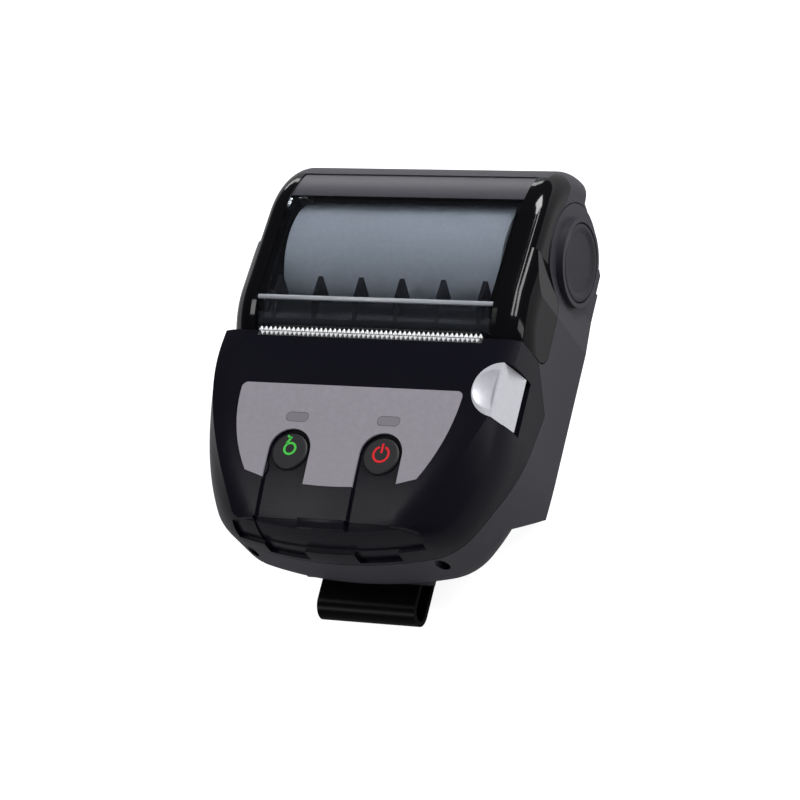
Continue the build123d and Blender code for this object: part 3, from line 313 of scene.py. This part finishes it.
core_grey = moulded_plastic("core_grey", (0.3, 0.3, 0.29), roughness=0.5, grain=0.0006, depth=0.2)
dress(core_grey, "roll_core")

# The upper shell is one satin black moulding: the deck, the tongues in front of the keys, and
# the lever's pocket. Four dark screws hold it from below.
satin_black = moulded_plastic("satin_black_moulding", (0.0045, 0.0042, 0.0075), roughness=0.3,
                              grain=0.0003, depth=0.15, specular=0.16)
dress(satin_black, "upper_case")
dress(plated_steel, "case_screws")

# The middle tongue runs a little further than the two key channels beside it. Its tip is part
# of the same satin moulding, with a small rounded edge that catches the light.
tip_half, tip_rear, tip_front = 0.00605, -0.0453, -0.04745
tip_foot, tip_top = 0.0399, 0.0421
tip_middle = (0, (tip_rear + tip_front) / 2, (tip_foot + tip_top) / 2)
crown_top, crown_y, crown_bow = 0.04405, -0.022, 0.296
nose_start, nose_slope = -0.0462, 0.35
bpy.ops.object.select_all(action="DESELECT")
bpy.ops.mesh.primitive_cube_add(size=1, location=tip_middle)
tongue_tip = bpy.context.object
tongue_tip.name = "middle_tongue_tip"
bpy.ops.object.mode_set(mode="EDIT")
bpy.ops.mesh.select_all(action="SELECT")
bpy.ops.transform.resize(value=(2 * tip_half, tip_rear - tip_front, tip_top - tip_foot))
bpy.ops.mesh.subdivide(number_cuts=3)
bpy.ops.object.mode_set(mode="OBJECT")
bpy.ops.object.transform_apply(location=True, rotation=True, scale=True)
for corner in tongue_tip.data.vertices:
    if corner.co.z > tip_top - 0.0001:
        crown = crown_top - (corner.co.y - crown_y) ** 2 / crown_bow
        corner.co.z = crown - max(0, nose_start - corner.co.y) * nose_slope
bpy.ops.object.mode_set(mode="EDIT")
bpy.ops.mesh.select_all(action="SELECT")
bpy.ops.mesh.dissolve_limited(angle_limit=0.02)
bpy.ops.object.mode_set(mode="OBJECT")
soft_edge = tongue_tip.modifiers.new("soft_edge", "BEVEL")
soft_edge.width = 0.0005
soft_edge.segments = 3
soft_edge.limit_method = "ANGLE"
soft_edge.angle_limit = 0.9
bpy.ops.object.modifier_apply(modifier="soft_edge")
bpy.ops.object.shade_smooth_by_angle(angle=0.6)
tongue_tip.data.materials.append(satin_black)
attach(tongue_tip, "case")

# The panel round the keys is a printed film with fine metal flakes, stuck into a shallow seat.
# Two oval light pipes of smoky plastic stand level with it.
metallic_film = worked_metal("metallic_film", (0.3, 0.28, 0.31), roughness=0.5,
                             grain_along=(1, 1, 1), metal=0.3, contrast=0.1)
dress(metallic_film, "panel_overlay")
smoky_lens = moulded_plastic("smoky_light_pipe", (0.175, 0.165, 0.18), roughness=0.4, grain=0.0006,
                             depth=0.1)
dress(smoky_lens, "status_lenses")

# The keys are soft black rubber with a domed top. The mark on each is printed in coloured ink,
# a ring with a curled tail for feed and a broken ring with a bar for power.
dress(soft_rubber, "feed_key", "power_key")
key_face = 0.04365
ink_height = 0.00006
feed_x, power_x, keys_y = -0.012, 0.012, -0.0291
stroke = 0.00055


def coloured_ink(name, colour):
    return moulded_plastic(name, colour, roughness=0.45, grain=0.0003, depth=0.3, specular=0.3)


def printed_ring(name, x, y, outside):
    bpy.ops.object.select_all(action="DESELECT")
    bpy.ops.mesh.primitive_circle_add(vertices=64, radius=outside, location=(x, y, key_face))
    ring = bpy.context.object
    ring.name = name
    bpy.ops.object.mode_set(mode="EDIT")
    bpy.ops.mesh.select_all(action="SELECT")
    bpy.ops.mesh.extrude_edges_move()
    shrink = (outside - stroke) / outside
    bpy.ops.transform.resize(value=(shrink, shrink, 1))
    bpy.ops.mesh.select_all(action="SELECT")
    bpy.ops.mesh.normals_make_consistent(inside=False)
    bpy.ops.object.mode_set(mode="OBJECT")
    return ring


def printed_bar(name, x, y, wide, long, turned=0.0):
    bpy.ops.object.select_all(action="DESELECT")
    bpy.ops.mesh.primitive_plane_add(size=1, location=(x, y, key_face))
    bar = bpy.context.object
    bar.name = name
    bpy.ops.object.mode_set(mode="EDIT")
    bpy.ops.mesh.select_all(action="SELECT")
    bpy.ops.transform.resize(value=(wide, long, 1))
    bpy.ops.transform.rotate(value=turned, orient_axis="Z", center_override=(x, y, key_face))
    bpy.ops.mesh.bevel(offset=wide * 0.3, segments=4, affect="VERTICES")
    bpy.ops.object.mode_set(mode="OBJECT")
    return bar


def print_mark(pieces, name, paint, body):
    bpy.ops.object.select_all(action="DESELECT")
    for piece in pieces:
        piece.select_set(True)
    bpy.context.view_layer.objects.active = pieces[0]
    bpy.ops.object.join()
    mark = bpy.context.object
    mark.name = name
    thick = mark.modifiers.new("ink", "SOLIDIFY")
    thick.thickness = ink_height
    thick.offset = 1
    bpy.ops.object.modifier_apply(modifier="ink")
    bpy.ops.object.transform_apply(location=True, rotation=True, scale=True)
    mark.data.materials.append(paint)
    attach(mark, body)


feed_ring = printed_ring("feed_ring", feed_x, keys_y + 0.0005, outside=0.0017)
feed_tail = printed_bar("feed_tail", feed_x - 0.0007, keys_y + 0.0026,
                        wide=stroke, long=0.0021, turned=0.5)
feed_tip = printed_bar("feed_tip", feed_x - 0.0009, keys_y + 0.0035,
                       wide=0.0005, long=0.0011, turned=-0.9)
green_ink = coloured_ink("green_ink", (0.06, 0.5, 0.06))
print_mark([feed_ring, feed_tail, feed_tip], "feed_mark", green_ink, "feed")

gap_start, gap_half = 0.001, 0.0008
power_ring = printed_ring("power_ring", power_x, keys_y + 0.0003, outside=0.0022)
bpy.ops.object.mode_set(mode="EDIT")
bpy.ops.mesh.select_all(action="DESELECT")
bpy.ops.object.mode_set(mode="OBJECT")
for face in power_ring.data.polygons:
    face.select = face.center.y > gap_start and abs(face.center.x) < gap_half
bpy.ops.object.mode_set(mode="EDIT")
bpy.ops.mesh.delete(type="FACE")
bpy.ops.object.mode_set(mode="OBJECT")
power_bar = printed_bar("power_bar", power_x, keys_y + 0.0018, wide=stroke, long=0.0025)
red_ink = coloured_ink("red_ink", (0.62, 0.015, 0.02))
print_mark([power_ring, power_bar], "power_mark", red_ink, "power")

# The release lever is a half-round thumb piece on a round stem, one moulding painted silver.
# It slides down in its pocket at the right edge of the deck.
silver_paint = worked_metal("silver_paint", (0.56, 0.56, 0.59), roughness=0.42,
                            grain_along=(1, 1, 1), metal=0.35, contrast=0.06)
dress(silver_paint, "release_lever")

# The lever's return spring is one length of bright wire wound round the stem. It stands on the
# case and is squashed by the lever, so it is swept along a helix and tied to the case.
spring_x, spring_y, spring_foot, spring_head = 0.0334, -0.0105, 0.03175, 0.0409
wire, coil, turns = 0.00021, 0.00205, 7
wire_sides, steps_a_turn = 10, 20
bpy.ops.object.select_all(action="DESELECT")
bpy.ops.mesh.primitive_circle_add(vertices=wire_sides, radius=wire, location=(0, 0, 0),
                                  rotation=(math.pi / 2, 0, 0))
lever_coil = bpy.context.object
lever_coil.name = "lever_return_coil"
bpy.ops.object.mode_set(mode="EDIT")
bpy.ops.mesh.select_all(action="SELECT")
bpy.ops.transform.translate(value=(coil, 0, 0))
bpy.ops.object.mode_set(mode="OBJECT")
bpy.ops.object.transform_apply(location=False, rotation=True, scale=False)
winder = lever_coil.modifiers.new("winder", "SCREW")
winder.axis = "Z"
winder.angle = turns * 2 * math.pi
winder.screw_offset = spring_head - spring_foot - 2 * wire
winder.steps = turns * steps_a_turn
bpy.ops.object.modifier_apply(modifier="winder")
bpy.ops.object.mode_set(mode="EDIT")
bpy.ops.mesh.select_all(action="SELECT")
bpy.ops.mesh.fill_holes(sides=wire_sides)
bpy.ops.mesh.normals_make_consistent(inside=False)
bpy.ops.transform.translate(value=(spring_x, spring_y, spring_foot + wire))
bpy.ops.object.mode_set(mode="OBJECT")
bpy.ops.object.transform_apply(location=True, rotation=True, scale=True)
bpy.ops.object.shade_smooth_by_angle(angle=0.9)
lever_coil.data.materials.append(bright_steel)
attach(lever_coil, "case")
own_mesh(lever_coil)
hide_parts("lever_spring")

# The tear bar is a strip of bright steel along the rear edge of the deck, with a row of sharp
# teeth at its back edge and a row of pressed ridges in front of them. The bar is dressed dark as
# painted shade under the teeth, and the teeth near-white as a painted highlight on their tops.
cutter_half, cutter_teeth = 0.0297, 48
cutter_pitch = 2 * cutter_half / cutter_teeth
tooth_share, tooth_edge = 0.46, 0.00008
tooth_base, tooth_top = 0.0420, 0.04245
# The teeth's near-white steel, lighter than the bright steel, is a painted highlight on their
# upward faces.
cutter_steel_painted_highlight = worked_metal("cutter_steel_painted_highlight", (0.86, 0.86, 0.86), roughness=0.35,
                            grain_along=(0.1, 1, 1), metal=0.25)
# The bar under the teeth gets the dark plated steel: painted shade, though the bar is bright
# steel.
dress(plated_steel, "tear_bar")


def row_of_teeth(name, root_y, tip_y, shift):
    bpy.ops.object.select_all(action="DESELECT")
    bpy.ops.mesh.primitive_cylinder_add(vertices=3, radius=1, depth=1, location=(0, 0, 0))
    tooth = bpy.context.object
    tooth.name = name
    half = cutter_pitch * tooth_share
    start_x = -cutter_half + cutter_pitch / 2 + shift
    corners = sorted(tooth.data.vertices,
                     key=lambda v: (round(v.co.z, 3), math.atan2(v.co.x, v.co.y)))
    for index, corner in enumerate(corners):
        place = [(-half, root_y), (0, tip_y), (half, root_y)][index % 3]
        corner.co = (start_x + place[0], place[1], tooth_base if index < 3 else tooth_top)
    bpy.ops.object.mode_set(mode="EDIT")
    bpy.ops.mesh.select_all(action="SELECT")
    bpy.ops.mesh.normals_make_consistent(inside=False)
    bpy.ops.mesh.bevel(offset=tooth_edge, segments=1, affect="EDGES")
    bpy.ops.object.mode_set(mode="OBJECT")
    row = tooth.modifiers.new("row", "ARRAY")
    row.count = cutter_teeth - (1 if shift else 0)
    row.use_relative_offset = False
    row.use_constant_offset = True
    row.constant_offset_displace = (cutter_pitch, 0, 0)
    bpy.ops.object.modifier_apply(modifier="row")
    tooth.data.materials.append(cutter_steel_painted_highlight)
    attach(tooth, "case")


row_of_teeth("rear_teeth", root_y=0.00285, tip_y=0.00392, shift=0)
row_of_teeth("front_teeth", root_y=0.00255, tip_y=0.00160, shift=cutter_pitch / 2)

# The cover's frame is gloss black, moulded in one with its side rails and hinge cheeks, and
# turns on two steel pins. The belt clip under the base is black enamelled steel.
gloss_black = moulded_plastic("gloss_black_moulding", (0.003, 0.003, 0.0035), roughness=0.08,
                              grain=0.006, depth=0.05, specular=0.2)
dress(gloss_black, "cover_frame")
clip_enamel = moulded_plastic("black_enamel", (0.002, 0.002, 0.0022), roughness=0.3, grain=0.002,
                              depth=0.1, specular=0.05)
dress(clip_enamel, "belt_clip")
dress(bright_steel, "hinge_pins")
dress(plated_steel, "clip_screws")

# The window is a smoked clear moulding, so the paper behind it looks blue-grey. Its rear is
# masked with matt ink. A light grey bead along the crease where the lip turns down is a painted
# highlight for the bright line that the crease catches.
mask_start = 0.0402
smoked_clear = bpy.data.materials.new("smoked_clear")
smoked_clear.use_nodes = True
smoke = smoked_clear.node_tree
smoke_shader = smoke.nodes["Principled BSDF"]
smoke_place = smoke.nodes.new("ShaderNodeTexCoord")
smoke_wave = smoke.nodes.new("ShaderNodeTexNoise")
smoke_wave.inputs["Scale"].default_value = 60
smoke_rough = smoke.nodes.new("ShaderNodeMapRange")
smoke_rough.inputs["To Min"].default_value = 0.02
smoke_rough.inputs["To Max"].default_value = 0.05
smoke.links.new(smoke_place.outputs["Object"], smoke_wave.inputs["Vector"])
smoke.links.new(smoke_wave.outputs["Fac"], smoke_rough.inputs["Value"])
smoke.links.new(smoke_rough.outputs["Result"], smoke_shader.inputs["Roughness"])
smoke_shader.inputs["Base Color"].default_value = (0.78, 0.82, 0.88, 1)
smoke_shader.inputs["Transmission Weight"].default_value = 1.0
smoke_shader.inputs["IOR"].default_value = 1.46
rear_band = smoke.nodes.new("ShaderNodeBsdfPrincipled")
rear_band.inputs["Base Color"].default_value = (0.034, 0.033, 0.042, 1)
rear_band.inputs["Roughness"].default_value = 0.4
band_axes = smoke.nodes.new("ShaderNodeSeparateXYZ")
band_edge = smoke.nodes.new("ShaderNodeMath")
band_edge.operation = "GREATER_THAN"
band_edge.inputs[1].default_value = mask_start
band_mix = smoke.nodes.new("ShaderNodeMixShader")
smoke.links.new(smoke_place.outputs["Object"], band_axes.inputs["Vector"])
smoke.links.new(band_axes.outputs["Y"], band_edge.inputs[0])
smoke.links.new(band_edge.outputs["Value"], band_mix.inputs["Fac"])
smoke.links.new(smoke_shader.outputs["BSDF"], band_mix.inputs[1])
smoke.links.new(rear_band.outputs["BSDF"], band_mix.inputs[2])
smoke.links.new(band_mix.outputs["Shader"], smoke.nodes["Material Output"].inputs["Surface"])
dress(smoked_clear, "cover_window")

bead_radius, bead_long, bead_edge = 0.0006, 0.0624, 0.0002
bead_y, bead_z = 0.01100, 0.04385
bpy.ops.object.select_all(action="DESELECT")
bpy.ops.mesh.primitive_cylinder_add(vertices=24, radius=bead_radius, depth=bead_long,
                                    location=(0, bead_y, bead_z), rotation=(0, math.pi / 2, 0))
crease_bead = bpy.context.object
crease_bead.name = "window_crease_bead"
bpy.ops.object.mode_set(mode="EDIT")
bpy.ops.mesh.select_all(action="SELECT")
bpy.ops.mesh.bevel(offset=bead_edge, segments=3, affect="EDGES", clamp_overlap=True)
bpy.ops.object.mode_set(mode="OBJECT")
bpy.ops.object.transform_apply(location=True, rotation=True, scale=True)
bpy.ops.object.shade_smooth_by_angle(angle=0.6)
# The bead's light grey is a painted highlight: it stands in for the light caught by the crease.
bead_painted_highlight = moulded_plastic("bead_painted_highlight_grey", (0.3, 0.31, 0.33), roughness=0.15, grain=0.004,
                             depth=0.05)
crease_bead.data.materials.append(bead_painted_highlight)
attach(crease_bead, "cover")
